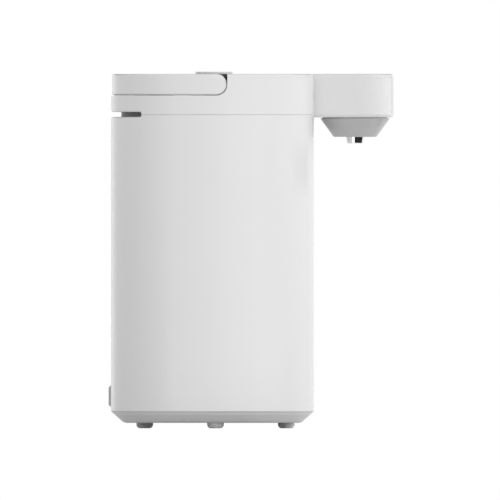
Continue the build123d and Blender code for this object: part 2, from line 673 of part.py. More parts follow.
IMPELLER_Z = VOLUTE_Z + VOLUTE_SKIN + RUNNING_GAP
with BuildPart() as pump_impeller:
    with Locations((PUMP_X, 0, IMPELLER_Z)):
        Cylinder(IMPELLER_RADIUS, IMPELLER_DISC, align=UP)
        Cylinder(HUB_RADIUS, IMPELLER_DISC + VANE_HEIGHT, align=UP)
    with BuildSketch(level(IMPELLER_Z + IMPELLER_DISC, PUMP_X)):
        with PolarLocations((HUB_RADIUS + IMPELLER_RADIUS) / 2 - VANE_ROOT, VANE_COUNT):
            Rectangle(IMPELLER_RADIUS - HUB_RADIUS, VANE_THICKNESS, rotation=VANE_ANGLE)
    extrude(amount=VANE_HEIGHT)
    with Locations((PUMP_X, 0, VOLUTE_Z - SHAFT_LENGTH + SLIDE_GAP)):
        Cylinder(SHAFT_RADIUS, SHAFT_LENGTH + VOLUTE_SKIN + RUNNING_GAP, align=UP)
pump_impeller.part.label = "pump_impeller"
export_step(pump_impeller.part, "parts/pump_impeller.step")

# Sleeve that joins the tank's pipe to the pump
with BuildPart() as outlet_sleeve:
    with Locations((PUMP_X, 0, SLEEVE_Z)):
        Cylinder(PIPE_RADIUS + SLEEVE_WALL, SLEEVE_TOP - SLEEVE_Z, align=UP)
        Cylinder(PIPE_RADIUS + PIN_GAP, SLEEVE_TOP - SLEEVE_Z, align=UP, mode=Mode.SUBTRACT)
outlet_sleeve.part.label = "outlet_sleeve"
export_step(outlet_sleeve.part, "parts/outlet_sleeve.step")

# Power inlet at the lower rear: tapered bezel, recess and two pins
with BuildPart() as power_inlet:
    rear_face = Plane((REAR_X, 0, INLET_CENTRE), x_dir=(0, -1, 0), z_dir=(-1, 0, 0))
    with BuildSketch(rear_face):
        RectangleRounded(INLET_WIDTH, INLET_HEIGHT, INLET_CORNER)
    with BuildSketch(rear_face.offset(INLET_PROUD)):
        RectangleRounded(INLET_WIDTH - 2 * INLET_TAPER, INLET_HEIGHT - 2 * INLET_TAPER, RECESS_CORNER)
    loft(ruled=True)
    with BuildSketch(rear_face):
        Rectangle(INLET_BODY_WIDTH, INLET_BODY_HEIGHT)
    extrude(amount=-INLET_BODY_DEPTH)
    with BuildSketch(rear_face.offset(INLET_PROUD)):
        RectangleRounded(RECESS_WIDTH, RECESS_HEIGHT, RECESS_CORNER)
    extrude(amount=-RECESS_DEPTH, mode=Mode.SUBTRACT)
    with BuildSketch(rear_face):
        with GridLocations(PIN_SPACING, 1, 2, 1):
            Circle(PIN_RADIUS + PIN_GAP)
    extrude(amount=-INLET_BODY_DEPTH, mode=Mode.SUBTRACT)
power_inlet.part.label = "power_inlet"
export_step(power_inlet.part, "parts/power_inlet.step")

with BuildPart() as inlet_pins:
    with BuildSketch(Plane((RECESS_X - PIN_STAND, 0, INLET_CENTRE), x_dir=(0, 1, 0), z_dir=(1, 0, 0))):
        with GridLocations(PIN_SPACING, 1, 2, 1):
            Circle(PIN_RADIUS)
    extrude(amount=PIN_END_X - RECESS_X + PIN_STAND)
inlet_pins.part.label = "inlet_pins"
export_step(inlet_pins.part, "parts/inlet_pins.step")

# Power board on its posts, with relay, transformer, capacitors and terminal block
with BuildPart() as power_board:
    with BuildSketch(level(BOARD_Z, BOARD_X)):
        Rectangle(BOARD_DEPTH, BOARD_WIDTH)
    extrude(amount=BOARD_THICKNESS)
power_board.part.label = "power_board"
export_step(power_board.part, "parts/power_board.step")

with BuildPart() as board_components:
    front_x = BOARD_X + BOARD_DEPTH / 2 - COMPONENT_GAP
    beside = CAPACITOR_RADIUS + COMPONENT_GAP
    with Locations((front_x - RELAY_SIZE[0] / 2, beside + RELAY_SIZE[1] / 2, BOARD_TOP)):
        Box(*RELAY_SIZE, align=UP)
    with Locations((front_x - TRANSFORMER_SIZE[0] / 2, -beside - TRANSFORMER_SIZE[1] / 2, BOARD_TOP)):
        Box(*TRANSFORMER_SIZE, align=UP)
    with Locations(
        (front_x - CAPACITOR_RADIUS, 0, BOARD_TOP),
        (front_x - 3 * CAPACITOR_RADIUS - COMPONENT_GAP, 0, BOARD_TOP),
    ):
        Cylinder(CAPACITOR_RADIUS, CAPACITOR_HEIGHT, align=UP)
board_components.part.label = "board_components"
export_step(board_components.part, "parts/board_components.step")

with BuildPart() as mains_leads:
    for lead_y in (-PIN_SPACING / 2, PIN_SPACING / 2):
        lead_x = BOARD_X - BOARD_DEPTH / 2 + BOARD_POST_INSET
        tube_along(
            [(PIN_END_X, lead_y, INLET_CENTRE), (lead_x, lead_y, INLET_CENTRE), (lead_x, lead_y, BOARD_TOP)],
            LEAD_BEND,
            LEAD_RADIUS,
            0,
        )
mains_leads.part.label = "mains_leads"
export_step(mains_leads.part, "parts/mains_leads.step")

# Upper housing: collar round the lid deck, head and hollow spout arm in one shell
with BuildPart() as upper_housing:
    with BuildSketch(level(SPOUT_Z)):
        spout_outline()
    extrude(amount=COVER_Z - SPOUT_Z)
    fillet(upper_housing.faces().sort_by(Axis.Z)[0].edges(), SPOUT_EDGE_RADIUS)
    with BuildSketch(level(SPOUT_Z)):
        spout_outline(-WALL)
        keep_behind(BODY_DEPTH / 2)
    extrude(amount=SPOUT_DROP, mode=Mode.SUBTRACT)
    with BuildSketch(level(SEAM_Z)):
        body_outline()
    extrude(amount=COVER_Z - SEAM_Z)
    chamfer(upper_housing.faces().sort_by(Axis.Z)[-1].outer_wire().edges(), SEAM_CHAMFER / 2)
    with BuildSketch(level(SEAM_Z)):
        body_outline(WALL)
    extrude(amount=COVER_Z - SEAM_Z, mode=Mode.SUBTRACT)
    with BuildSketch(level(SPOUT_Z + WALL)):
        spout_outline(WALL)
    extrude(amount=COVER_Z - SPOUT_Z, mode=Mode.SUBTRACT)
    with BuildSketch(side(HINGE_X, HINGE_Z)):
        Circle(POCKET_RADIUS)
        Rectangle(BODY_DEPTH, 2 * POCKET_RADIUS, align=(Align.MAX, Align.CENTER))
        Rectangle(POCKET_RADIUS, 2 * POCKET_RADIUS, align=(Align.MIN, Align.MIN))
    extrude(amount=BODY_WIDTH, both=True, mode=Mode.SUBTRACT)
    with BuildSketch(level(SEAM_Z - LIP_HEIGHT)):
        body_ring(WALL + FIT_GAP, WALL + FIT_GAP + LIP_THICKNESS)
        keep_ahead(VENT_FRONT + 2 * VENT_SKIN + LIP_ROOT)
    extrude(amount=LIP_HEIGHT + LIP_ROOT)
    with BuildSketch(level(SEAM_Z)):
        body_ring(WALL - SEAM_CHAMFER, WALL + FIT_GAP + LIP_THICKNESS)
        keep_ahead(VENT_FRONT + 2 * VENT_SKIN + LIP_ROOT)
    extrude(amount=LIP_ROOT)
    with BuildSketch(level(DECK_Z - DECK_THICKNESS - LEDGE_HEIGHT)):
        body_ring(WALL - SEAM_CHAMFER, WALL + LEDGE_WIDTH)
        keep_behind(HINGE_OFFSET)
    extrude(amount=LEDGE_HEIGHT)
    with Locations(*[(x, y, DECK_Z - DECK_THICKNESS - BOSS_HEIGHT) for x, y in DECK_SCREW_PLACES]):
        Cylinder(BOSS_RADIUS, BOSS_HEIGHT, align=UP)
    with Locations(*[Location((x, y, DECK_Z), (180, 0, 0)) for x, y in DECK_SCREW_PLACES]):
        screw_form(DECK_SCREW_LENGTH + FIT_GAP, PIN_GAP, Mode.SUBTRACT)
    with BuildSketch(level(SPOUT_Z, NOZZLE_X)):
        Circle(CONE_SPIGOT_RADIUS + FIT_GAP)
    extrude(amount=WALL, mode=Mode.SUBTRACT)
    cut_vent()
    fillet(outline_edges(upper_housing, SEAM_Z + VENT_HEIGHT / 2), VENT_LIP_RADIUS)
upper_housing.part.label = "upper_housing"
export_step(upper_housing.part, "parts/upper_housing.step")

# Steam vent liner: a dark channel behind the rear slot, with a row of steam holes
with BuildPart() as vent_liner:
    liner_inset = VENT_RECESS + VENT_SKIN
    liner_z = SEAM_Z - VENT_HEIGHT / 2 - VENT_SKIN
    with BuildSketch(level(liner_z)):
        body_ring(VENT_RECESS, liner_inset)
        keep_behind(VENT_FRONT + 2 * VENT_SKIN)
    extrude(amount=VENT_HEIGHT + 2 * VENT_SKIN)
    for flange_z in (liner_z, SEAM_Z + VENT_HEIGHT / 2):
        with BuildSketch(level(flange_z)):
            body_ring(WALL + FIT_GAP, liner_inset)
            keep_behind(VENT_FRONT + 2 * VENT_SKIN)
        extrude(amount=VENT_SKIN)
    with BuildSketch(level(liner_z)):
        body_ring(WALL + FIT_GAP, liner_inset)
        keep_behind(VENT_FRONT + 2 * VENT_SKIN)
        keep_ahead(VENT_FRONT + VENT_SKIN)
    extrude(amount=VENT_HEIGHT + 2 * VENT_SKIN)
    with BuildSketch(Plane((REAR_X, 0, SEAM_Z), x_dir=(0, 1, 0), z_dir=(1, 0, 0))):
        with GridLocations(VENT_HOLE_SPACING, 1, VENT_HOLE_COUNT, 1):
            SlotOverall(VENT_HEIGHT - 2 * VENT_HOLE_MARGIN, VENT_HOLE_WIDTH, rotation=90)
    extrude(amount=2 * liner_inset, mode=Mode.SUBTRACT)
vent_liner.part.label = "vent_liner"
export_step(vent_liner.part, "parts/vent_liner.step")

# Mouth frame: lid deck, neck down into the tank, and the plate that presses the seal
with BuildPart() as mouth_frame:
    with BuildSketch(level(DECK_Z - DECK_THICKNESS)):
        body_outline(WALL + FIT_GAP)
        keep_behind(WALL_X - BODY_X + 2 * WALL)
        mouth_outline(mode=Mode.SUBTRACT)
    extrude(amount=DECK_THICKNESS)
    with BuildSketch(level(NECK_Z)):
        mouth_outline(-NECK_WALL)
        mouth_outline(mode=Mode.SUBTRACT)
    extrude(amount=NECK_DEPTH)
    with BuildSketch(level(NECK_Z)):
        Circle(TANK_FLANGE_RADIUS)
        mouth_outline(mode=Mode.SUBTRACT)
    extrude(amount=NECK_PLATE)
    with BuildSketch(level(NECK_Z)):
        Circle(TANK_FLANGE_RADIUS)
        keep_behind(WALL_X - BODY_X + 2 * WALL)
        keep_ahead(WALL_X - BODY_X + WALL)
    extrude(amount=NECK_DEPTH)
    with Locations(*[Location((x, y, DECK_Z), (180, 0, 0)) for x, y in DECK_SCREW_PLACES]):
        screw_form(DECK_SCREW_LENGTH, PIN_GAP, Mode.SUBTRACT)
mouth_frame.part.label = "mouth_frame"
export_step(mouth_frame.part, "parts/mouth_frame.step")

with BuildPart() as deck_screws:
    with Locations(*[Location((x, y, DECK_Z), (180, 0, 0)) for x, y in DECK_SCREW_PLACES]):
        screw_form(DECK_SCREW_LENGTH)
deck_screws.part.label = "deck_screws"
export_step(deck_screws.part, "parts/deck_screws.step")

# Hinge bridge: the head's rear wall with the round turret that carries hinge and button
with BuildPart() as hinge_bridge:
    with BuildSketch(level(DECK_Z)):
        body_outline(WALL + FIT_GAP)
        keep_ahead(WALL_X - BODY_X)
        keep_behind(WALL_X - BODY_X + WALL)
    extrude(amount=COVER_Z - DECK_Z)
    with BuildSketch(level(DECK_Z, TURRET_X)):
        Circle(TURRET_RADIUS)
    extrude(amount=TOP_Z - DECK_Z)
    with BuildSketch(level(DECK_Z, TURRET_X)):
        Circle(TURRET_BORE)
    extrude(amount=FLANGE_TOP + SLIDE_GAP - DECK_Z, mode=Mode.SUBTRACT)
    with BuildSketch(level(DECK_Z, TURRET_X)):
        Circle(BUTTON_RADIUS + BUTTON_GAP)
    extrude(amount=TOP_Z - DECK_Z, mode=Mode.SUBTRACT)
    fillet(hinge_bridge.faces().sort_by(Axis.Z)[-1].outer_wire().edges(), TURRET_EDGE_RADIUS)
    with BuildSketch(side(HINGE_X, HINGE_Z)):
        Circle(HINGE_PIN_RADIUS + PIN_GAP)
    extrude(amount=2 * TURRET_RADIUS, both=True, mode=Mode.SUBTRACT)
    with BuildSketch(Plane((TURRET_X, 0, DECK_Z), x_dir=(0, -1, 0), z_dir=(-1, 0, 0))):
        Rectangle(
            NOSE_WIDTH + 2 * SLIDE_GAP,
            LATCH_LIFT + NOSE_HEIGHT + SLIDE_GAP,
            align=(Align.CENTER, Align.MIN),
        )
    extrude(amount=2 * TURRET_RADIUS, mode=Mode.SUBTRACT)
hinge_bridge.part.label = "hinge_bridge"
export_step(hinge_bridge.part, "parts/hinge_bridge.step")

# Latch carrier: block inside the turret that guides the latch and the button's key
KEY_TOP = LATCH_TOP + BUTTON_TRAVEL + SLIDE_GAP
KEY_FOOT = DECK_Z + BUTTON_TRAVEL + SLIDE_GAP
KEY_LEAN = LATCH_TOP - KEY_FOOT
with BuildPart() as latch_carrier:
    with BuildSketch(level(DECK_Z, TURRET_X)):
        Circle(TURRET_BORE - FIT_GAP)
    extrude(amount=CARRIER_HEIGHT)
    with BuildSketch(side(TURRET_X, LATCH_Z - SLIDE_GAP)):
        Rectangle(4 * TURRET_RADIUS, LATCH_HEIGHT + 2 * SLIDE_GAP, align=(Align.CENTER, Align.MIN))
    extrude(amount=LATCH_WIDTH / 2 + SLIDE_GAP, both=True, mode=Mode.SUBTRACT)
    with BuildSketch(level(DECK_Z, TURRET_X)):
        with Locations((-KEY_LENGTH / 2 - KEY_LEAN - 2 * SLIDE_GAP, 0)):
            Rectangle(
                2 * KEY_LENGTH + KEY_LEAN + BUTTON_TRAVEL,
                KEY_WIDTH + 2 * SLIDE_GAP,
                align=(Align.MIN, Align.CENTER),
            )
    extrude(amount=CARRIER_HEIGHT, mode=Mode.SUBTRACT)
latch_carrier.part.label = "latch_carrier"
export_step(latch_carrier.part, "parts/latch_carrier.step")


def slanted_key(extra=0.0, mode=Mode.ADD):
    """Slanted bar, leaning forward at 45 degrees as it rises, drawn from the latch's top."""
    half = KEY_LENGTH / 2 + extra
    below = KEY_FOOT - LATCH_TOP
    above = KEY_TOP - LATCH_TOP
    with BuildLine() as outline:
        Polyline(
            (below - half, below),
            (below + half, below),
            (above + half, above),
            (above - half, above),
            close=True,
        )
    make_face(outline.edges(), mode=mode)


# Lid latch: a bar with a sloped nose, drawn forward by the slanted key in its slot
with BuildPart() as lid_latch:
    with BuildSketch(side(TURRET_X, LATCH_Z)):
        with Locations((-LATCH_REAR, 0)):
            Rectangle(LATCH_REAR + LATCH_FRONT, LATCH_HEIGHT, align=(Align.MIN, Align.MIN))
    extrude(amount=LATCH_WIDTH / 2, both=True)
    with BuildSketch(side(TURRET_X, LATCH_Z)):
        with BuildLine():
            Polyline(
                (-NOSE_TIP, 0),
                (-LATCH_REAR, 0),
                (-LATCH_REAR, NOSE_HEIGHT),
                (-NOSE_TIP + NOSE_SLOPE, NOSE_HEIGHT),
                (-NOSE_TIP, NOSE_HEIGHT - NOSE_SLOPE),
                close=True,
            )
        make_face()
    extrude(amount=NOSE_WIDTH / 2, both=True)
    with BuildSketch(side(TURRET_X, LATCH_TOP)):
        slanted_key(SLIDE_GAP * sqrt(2))
    extrude(amount=KEY_WIDTH / 2 + SLIDE_GAP, both=True, mode=Mode.SUBTRACT)
lid_latch.part.label = "lid_latch"
export_step(lid_latch.part, "parts/lid_latch.step")

# Push button: cap with a skirt trapped under the turret's rim, and the slanted key
with BuildPart() as release_button:
    with BuildSketch(level(BUTTON_UNDER, TURRET_X)):
        Circle(BUTTON_RADIUS)
    extrude(amount=BUTTON_THICKNESS)
    fillet(release_button.faces().sort_by(Axis.Z)[-1].edges(), BUTTON_EDGE_RADIUS)
    with BuildSketch(level(FLANGE_Z, TURRET_X)):
        Circle(BUTTON_RADIUS)
        Circle(BUTTON_RADIUS - BUTTON_SKIRT, mode=Mode.SUBTRACT)
    extrude(amount=BUTTON_UNDER - FLANGE_Z)
    with BuildSketch(level(FLANGE_Z, TURRET_X)):
        Circle(BUTTON_RADIUS + BUTTON_FLANGE)
        Circle(BUTTON_RADIUS - BUTTON_SKIRT, mode=Mode.SUBTRACT)
    extrude(amount=BUTTON_FLANGE_HEIGHT)
    with BuildSketch(side(TURRET_X, LATCH_TOP)):
        slanted_key()
        with Locations((KEY_TOP - LATCH_TOP + KEY_LENGTH / 2, KEY_TOP - LATCH_TOP)):
            Rectangle(
                KEY_LENGTH + BUTTON_TRAVEL,
                BUTTON_UNDER - KEY_TOP,
                align=(Align.MAX, Align.MIN),
            )
    extrude(amount=KEY_WIDTH / 2, both=True)
release_button.part.label = "release_button"
export_step(release_button.part, "parts/release_button.step")

# Return dome: silicone cone that pushes the button back up
with BuildPart() as return_dome:
    with BuildSketch(level(CARRIER_TOP, TURRET_X)):
        Circle(DOME_RADIUS)
    with BuildSketch(level(BUTTON_UNDER, TURRET_X)):
        Circle(DOME_TOP_RADIUS)
    loft()
    with BuildSketch(level(CARRIER_TOP, TURRET_X)):
        Circle(DOME_RADIUS - DOME_SKIN)
    with BuildSketch(level(BUTTON_UNDER, TURRET_X)):
        Circle(DOME_TOP_RADIUS - DOME_SKIN)
    loft(mode=Mode.SUBTRACT)
return_dome.part.label = "return_dome"
export_step(return_dome.part, "parts/return_dome.step")

# Top cover: round-edged plate over the head and the arm, recessed for the touch window
TOUCH_X = FRONT_X + SPOUT_REACH - TOUCH_FRONT_MARGIN - TOUCH_LENGTH / 2
with BuildPart() as top_cover:
    with BuildSketch(level(COVER_Z)):
        body_outline(COVER_INSET)
        spout_outline(COVER_INSET)
    extrude(amount=COVER_THICKNESS)
    fillet(top_cover.faces().sort_by(Axis.Z)[-1].outer_wire().edges(), COVER_EDGE_RADIUS)
    with BuildSketch(level(COVER_Z)):
        body_outline()
        keep_behind(WALL_X - BODY_X)
        with Locations((TURRET_OFFSET, 0)):
            Circle(TURRET_RADIUS + FIT_GAP)
    extrude(amount=COVER_THICKNESS, mode=Mode.SUBTRACT)
    with BuildSketch(level(TOP_Z - TOUCH_THICKNESS, TOUCH_X)):
        SlotOverall(TOUCH_LENGTH + 2 * FIT_GAP, TOUCH_WIDTH + 2 * FIT_GAP)
    extrude(amount=TOUCH_THICKNESS, mode=Mode.SUBTRACT)
    with BuildSketch(level(COVER_Z - TOUCH_POST_HEIGHT, TOUCH_X)):
        with GridLocations(
            TOUCH_BOARD_LENGTH - 2 * TOUCH_POST_INSET, TOUCH_BOARD_WIDTH - 2 * TOUCH_POST_INSET, 2, 2
        ):
            Circle(TOUCH_POST_RADIUS)
    extrude(amount=TOUCH_POST_HEIGHT)
top_cover.part.label = "top_cover"
export_step(top_cover.part, "parts/top_cover.step")

with BuildPart() as touch_window:
    with BuildSketch(level(TOP_Z - TOUCH_THICKNESS, TOUCH_X)):
        SlotOverall(TOUCH_LENGTH, TOUCH_WIDTH)
    extrude(amount=TOUCH_THICKNESS)
touch_window.part.label = "touch_window"
export_step(touch_window.part, "parts/touch_window.step")

with BuildPart() as touch_board:
    with BuildSketch(level(COVER_Z - TOUCH_POST_HEIGHT - BOARD_THICKNESS, TOUCH_X)):
        Rectangle(TOUCH_BOARD_LENGTH, TOUCH_BOARD_WIDTH)
    extrude(amount=BOARD_THICKNESS)
touch_board.part.label = "touch_board"
export_step(touch_board.part, "parts/touch_board.step")

# Nozzle cone under the arm, with a spigot up into it
CONE_TOE_Z = SPOUT_Z - CONE_HEIGHT
with BuildPart() as nozzle_cone:
    with BuildSketch(side(NOZZLE_X, SPOUT_Z)):
        with BuildLine():
            Polyline(
                (NOZZLE_RADIUS + FIT_GAP, -CONE_HEIGHT),
                (CONE_TOE_RADIUS, -CONE_HEIGHT),
                (CONE_RADIUS, -CONE_RIM),
                (CONE_RADIUS, -CONE_REVEAL),
                (CONE_RADIUS - CONE_REVEAL_DEPTH, -CONE_REVEAL),
                (CONE_RADIUS - CONE_REVEAL_DEPTH, 0),
                (CONE_SPIGOT_RADIUS, 0),
                (CONE_SPIGOT_RADIUS, CONE_SPIGOT_HEIGHT),
                (CONE_SPIGOT_RADIUS - CONE_WALL, CONE_SPIGOT_HEIGHT),
                (CONE_SPIGOT_RADIUS - CONE_WALL, -CONE_RIM),
                (CONE_TOE_RADIUS - CONE_WALL, CONE_WALL - CONE_HEIGHT),
                (NOZZLE_RADIUS + FIT_GAP, CONE_WALL - CONE_HEIGHT),
                close=True,
            )
        make_face()
    revolve(axis=Axis((NOZZLE_X, 0, 0), (0, 0, 1)))
    toe_edges = nozzle_cone.edges().group_by(Axis.Z)[0].sort_by(SortBy.RADIUS)
    fillet(toe_edges[-1], CONE_EDGE_RADIUS)
nozzle_cone.part.label = "nozzle_cone"
export_step(nozzle_cone.part, "parts/nozzle_cone.step")

# Nozzle tip: bright outlet ring hung in the cone's floor
SOCKET_Z = CONE_TOE_Z + CONE_WALL + NOZZLE_FLANGE_THICKNESS
with BuildPart() as nozzle_tip:
    with Locations((NOZZLE_X, 0, CONE_TOE_Z - NOZZLE_LENGTH)):
        Cone(NOZZLE_TOE_RADIUS, NOZZLE_RADIUS, NOZZLE_LENGTH, align=UP)
    fillet(nozzle_tip.faces().sort_by(Axis.Z)[0].edges(), NOZZLE_EDGE_RADIUS)
    with Locations((NOZZLE_X, 0, CONE_TOE_Z)):
        Cylinder(NOZZLE_RADIUS, CONE_WALL, align=UP)
    with Locations((NOZZLE_X, 0, CONE_TOE_Z + CONE_WALL)):
        Cylinder(NOZZLE_FLANGE_RADIUS, NOZZLE_FLANGE_THICKNESS, align=UP)
    with Locations((NOZZLE_X, 0, SOCKET_Z)):
        Cylinder(NIPPLE_RADIUS + SLEEVE_WALL, NOZZLE_SOCKET, align=UP)
        Cylinder(NIPPLE_RADIUS + PIN_GAP, NOZZLE_SOCKET, align=UP, mode=Mode.SUBTRACT)
    with Locations((NOZZLE_X, 0, CONE_TOE_Z - NOZZLE_LENGTH)):
        Cylinder(NOZZLE_BORE_RADIUS, NOZZLE_LENGTH + CONE_WALL, align=UP, mode=Mode.SUBTRACT)
        Cylinder(
            NIPPLE_BORE_RADIUS,
            NOZZLE_LENGTH + CONE_WALL + NOZZLE_FLANGE_THICKNESS,
            align=UP,
            mode=Mode.SUBTRACT,
        )
nozzle_tip.part.label = "nozzle_tip"
export_step(nozzle_tip.part, "parts/nozzle_tip.step")

# Elbow in the arm, and the hose that brings water up the front corner of the body
ELBOW_BEND = 3 * NIPPLE_RADIUS
ELBOW_END_X = NOZZLE_X - ELBOW_BEND - NIPPLE_LENGTH
with BuildPart() as outlet_elbow:
    tube_along(
        [(NOZZLE_X, 0, SOCKET_Z), (NOZZLE_X, 0, RISER_Z), (ELBOW_END_X, 0, RISER_Z)],
        ELBOW_BEND,
        NIPPLE_RADIUS,
        NIPPLE_BORE_RADIUS,
    )
outlet_elbow.part.label = "outlet_elbow"
export_step(outlet_elbow.part, "parts/outlet_elbow.step")

RISER_REACH = (CORNER_RADIUS - WALL - HOSE_RADIUS - RISER_GAP) * sqrt(0.5)
RISER_X = FRONT_X - CORNER_RADIUS + RISER_REACH
RISER_Y = BODY_WIDTH / 2 - CORNER_RADIUS + RISER_REACH
with BuildPart() as riser_hose:
    tube_along(
        [
            (OUTLET_X, VOLUTE_RADIUS + SLIDE_GAP, OUTLET_Z),
            (OUTLET_X, RISER_Y - RISER_FOOT_STEP, OUTLET_Z),
            (RISER_X, RISER_Y, TANK_BOTTOM_Z + RISER_FOOT_RISE),
            (RISER_X, RISER_Y, RISER_Z),
            (FRONT_X - HOSE_RADIUS / 2, 0, RISER_Z),
            (NOZZLE_X - ELBOW_BEND - SLIDE_GAP, 0, RISER_Z),
        ],
        RISER_BENDS,
        HOSE_RADIUS,
        HOSE_BORE,
    )
riser_hose.part.label = "riser_hose"
export_step(riser_hose.part, "parts/riser_hose.step")

# Lid cover: half-round hinge edge in front, notched round the turret, hollow below
LID_TOP_INNER = TOP_Z - WALL
WEB_OFFSET = HINGE_OFFSET - BARREL_WEB
with BuildPart() as lid_cover:
    with BuildSketch(side(HINGE_X, HINGE_Z)):
        Circle(BARREL_RADIUS)
        Rectangle(BODY_DEPTH, LID_HEIGHT, align=(Align.MAX, Align.CENTER))
    extrude(amount=BODY_WIDTH, both=True)
    with BuildSketch(level(LID_Z)):
        body_outline(LID_INSET)
    extrude(amount=LID_HEIGHT, mode=Mode.INTERSECT)
    fillet(outline_edges(lid_cover, TOP_Z, LID_INSET), LID_EDGE_RADIUS)
    with BuildSketch(level(LID_Z)):
        body_outline(LID_INSET + WALL)
        keep_behind(WEB_OFFSET)
        with Locations((TURRET_OFFSET, 0)):
            Circle(NOTCH_WALL_RADIUS, mode=Mode.SUBTRACT)
    extrude(amount=LID_TOP_INNER - LID_Z, mode=Mode.SUBTRACT)
    with BuildSketch(level(LID_Z + LID_FLOOR + WALL)):
        body_outline(LID_INSET + WALL)
        keep_behind(HINGE_OFFSET + BARREL_RADIUS / 2)
        keep_ahead(WEB_OFFSET - WALL)
        Rectangle(
            BODY_DEPTH,
            2 * (NOTCH_RADIUS + HINGE_PIN_GRIP + WALL),
            mode=Mode.SUBTRACT,
        )
    extrude(amount=LID_TOP_INNER - LID_Z - LID_FLOOR - 2 * WALL, mode=Mode.SUBTRACT)
    with Locations(*[(x, y, LID_Z + LID_FLOOR) for x, y in LID_SCREW_PLACES]):
        Cylinder(LID_BOSS_RADIUS, LID_TOP_INNER - LID_Z - LID_FLOOR, align=UP)
    with BuildSketch(level(LID_Z)):
        with Locations((TURRET_OFFSET, 0)):
            Circle(NOTCH_RADIUS)
            Rectangle(BODY_DEPTH, 2 * NOTCH_RADIUS, align=(Align.MIN, Align.CENTER))
    extrude(amount=LID_HEIGHT, mode=Mode.SUBTRACT)
    with BuildSketch(side(HINGE_X, HINGE_Z)):
        Circle(HINGE_PIN_RADIUS)
    extrude(amount=NOTCH_RADIUS + HINGE_PIN_GRIP, both=True, mode=Mode.SUBTRACT)
    with BuildSketch(Plane((TURRET_X, 0, LATCH_Z - SLIDE_GAP), x_dir=(0, -1, 0), z_dir=(-1, 0, 0))):
        Rectangle(NOSE_WIDTH + 4 * SLIDE_GAP, NOSE_HEIGHT + 2 * SLIDE_GAP, align=(Align.CENTER, Align.MIN))
    extrude(amount=NOTCH_WALL_RADIUS + WALL, mode=Mode.SUBTRACT)
    with Locations(*[(x, y, LID_Z) for x, y in LID_SCREW_PLACES]):
        screw_form(LID_SCREW_LENGTH + FIT_GAP, PIN_GAP, Mode.SUBTRACT)
lid_cover.part.label = "lid_cover"
export_step(lid_cover.part, "parts/lid_cover.step")

with BuildPart() as hinge_pins:
    for pin_side in (-1, 1):
        with BuildSketch(
            Plane((HINGE_X, pin_side * TURRET_BORE, HINGE_Z), x_dir=(1, 0, 0), z_dir=(0, pin_side, 0))
        ):
            Circle(HINGE_PIN_RADIUS)
        extrude(amount=NOTCH_RADIUS + HINGE_PIN_GRIP - TURRET_BORE)
hinge_pins.part.label = "hinge_pins"
export_step(hinge_pins.part, "parts/hinge_pins.step")

# Inner lid: floor of the lid with a rim, a shallow plug and a groove for the gasket
with BuildPart() as lid_inner:
    with BuildSketch(level(LID_Z)):
        body_outline(LID_INSET + WALL + FIT_GAP)
        keep_behind(WEB_OFFSET - FIT_GAP)
        with Locations((TURRET_OFFSET, 0)):
            Circle(NOTCH_WALL_RADIUS + FIT_GAP, mode=Mode.SUBTRACT)
    extrude(amount=LID_FLOOR)
    with BuildSketch(level(DECK_Z + LID_SEAT_GAP)):
        body_ring(LID_INSET + WALL + FIT_GAP, LID_INSET + WALL + FIT_GAP + LID_RIM)
        keep_behind(WEB_OFFSET - FIT_GAP)
    extrude(amount=LID_GAP - LID_SEAT_GAP)
    with BuildSketch(level(LID_Z - LID_PLUG_DEPTH)):
        mouth_outline(LID_PLUG_GAP)
    extrude(amount=LID_PLUG_DEPTH)
    with BuildSketch(level(LID_Z - LID_PLUG_DEPTH + LID_PLUG_SKIN)):
        mouth_outline(LID_PLUG_GAP + LID_PLUG_SKIN)
    extrude(amount=LID_PLUG_DEPTH - LID_PLUG_SKIN + LID_FLOOR, mode=Mode.SUBTRACT)
    with BuildSketch(level(LID_Z)):
        mouth_outline(-GASKET_MARGIN - GASKET_WIDTH)
        mouth_outline(-GASKET_MARGIN, Mode.SUBTRACT)
    extrude(amount=GASKET_SEAT, mode=Mode.SUBTRACT)
    with Locations(*[(x, y, LID_Z) for x, y in LID_SCREW_PLACES]):
        screw_form(LID_SCREW_LENGTH, PIN_GAP, Mode.SUBTRACT)
lid_inner.part.label = "lid_inner"
export_step(lid_inner.part, "parts/lid_inner.step")

with BuildPart() as lid_gasket:
    with BuildSketch(level(DECK_Z + SLIDE_GAP)):
        mouth_outline(-GASKET_MARGIN - GASKET_WIDTH + PIN_GAP)
        mouth_outline(-GASKET_MARGIN - PIN_GAP, Mode.SUBTRACT)
    extrude(amount=LID_GAP - SLIDE_GAP + GASKET_SEAT)
lid_gasket.part.label = "lid_gasket"
export_step(lid_gasket.part, "parts/lid_gasket.step")

with BuildPart() as lid_screws:
    with Locations(*[(x, y, LID_Z) for x, y in LID_SCREW_PLACES]):
        screw_form(LID_SCREW_LENGTH)
lid_screws.part.label = "lid_screws"
export_step(lid_screws.part, "parts/lid_screws.step")

# Steam cap under the inner lid, with a ring of holes
with BuildPart() as steam_cap:
    cap_x = BODY_X - (MOUTH_RADIUS + MOUTH_FRONT) / 2
    with BuildSketch(level(LID_Z - LID_PLUG_DEPTH - STEAM_CAP_HEIGHT, cap_x)):
        Circle(STEAM_CAP_RADIUS)
        with PolarLocations(STEAM_HOLE_CIRCLE, STEAM_HOLE_COUNT):
            Circle(STEAM_HOLE_RADIUS, mode=Mode.SUBTRACT)
    extrude(amount=STEAM_CAP_HEIGHT)
    chamfer(steam_cap.faces().sort_by(Axis.Z)[0].outer_wire().edges(), STEAM_CAP_CHAMFER)
steam_cap.part.label = "steam_cap"
export_step(steam_cap.part, "parts/steam_cap.step")
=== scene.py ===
import math

